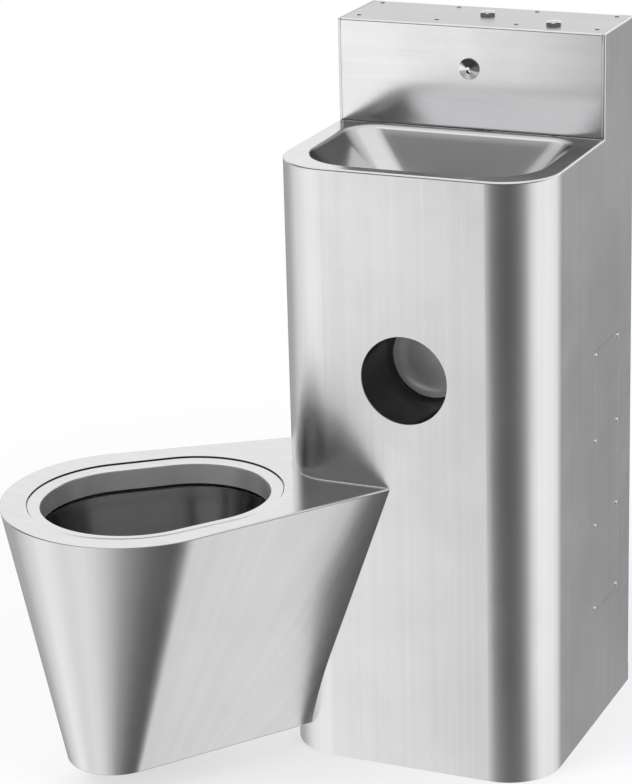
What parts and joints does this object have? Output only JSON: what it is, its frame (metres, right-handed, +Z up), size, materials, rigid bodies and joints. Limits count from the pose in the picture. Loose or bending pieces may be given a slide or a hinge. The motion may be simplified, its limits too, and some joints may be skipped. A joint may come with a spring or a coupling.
{
  "type": "toilet and basin combination unit",
  "caption": "Stainless steel cabinet with a hand basin, a raised back with spout and push-buttons, a paper roll recess, and a toilet pan carried on its front corner.",
  "frame": {"origin": "on the floor, at the wall plane, in the middle of the cabinet's width", "axes": "+X to the right seen from the front, +Y to the wall behind the unit, +Z up; the pan points along -X-Y"},
  "size_m": [0.7165, 0.7097, 1.0062],
  "materials": {
    "satin_steel": "satin brushed stainless steel, grain upright",
    "polished_steel": "polished stainless steel",
    "plain_steel": "mill finish stainless steel",
    "bright_steel": "bright turned stainless steel",
    "spring_steel": "drawn spring wire",
    "brass": "cast and machined brass",
    "copper": "drawn copper tube",
    "black_rubber": "matt moulded rubber",
    "black_plastic": "moulded",
    "grey_plastic": "extruded pipe",
    "white_plastic": "moulded",
    "clear_tube": "soft blue-grey tube"
  },
  "bodies": {
    "unit": {"body_shell": "satin_steel", "base_frame": "plain_steel", "basin": "polished_steel", "upstand_cover": "satin_steel", "cover_rails": "plain_steel", "cover_screws": "bright_steel", "access_panel": "satin_steel", "access_panel_frame": "plain_steel", "access_panel_screws": "bright_steel", "roll_recess": "polished_steel", "toilet_deck": "polished_steel", "toilet_skirt": "satin_steel", "flush_rim": "plain_steel", "toilet_bowl": "polished_steel", "toilet_trap": "plain_steel", "soil_elbow": "grey_plastic", "soil_pipe": "grey_plastic", "soil_seal": "black_rubber", "spout_nozzle": "bright_steel", "spout_locknut": "brass", "spout_elbow": "brass", "spout_riser": "copper", "basin_button_bezel": "bright_steel", "basin_button_spring": "spring_steel", "basin_button_nut": "brass", "basin_air_capsule": "black_plastic", "basin_air_tube": "clear_tube", "flush_button_bezel": "bright_steel", "flush_button_spring": "spring_steel", "flush_button_nut": "brass", "flush_air_capsule": "black_plastic", "flush_air_tube": "clear_tube", "valve_rail": "plain_steel", "basin_valve": "brass", "flush_valve": "brass", "basin_inlet": "brass", "flush_inlet": "brass", "inlet_locknuts": "brass", "flush_pipe": "copper", "flush_seal": "black_rubber", "waste_grid": "bright_steel", "waste_screw": "bright_steel", "waste_seal": "black_rubber", "waste_body": "white_plastic", "waste_nut": "white_plastic", "basin_trap": "white_plastic", "basin_waste_pipe": "white_plastic"},
    "basin_push": {"basin_button": "bright_steel"},
    "flush_push": {"flush_button": "bright_steel"}
  },
  "joints": [
    {"name": "basin_slide", "type": "slide", "parent": "unit", "child": "basin_push", "axis": [0, 0, -1], "range_m": [0, 0.004], "stiffness_N_per_m": 300, "springref_m": -0.004, "deforming": ["basin_button_spring"]},
    {"name": "flush_slide", "type": "slide", "parent": "unit", "child": "flush_push", "axis": [0, 0, -1], "range_m": [0, 0.004], "stiffness_N_per_m": 300, "springref_m": -0.004, "deforming": ["flush_button_spring"]}
  ]
}
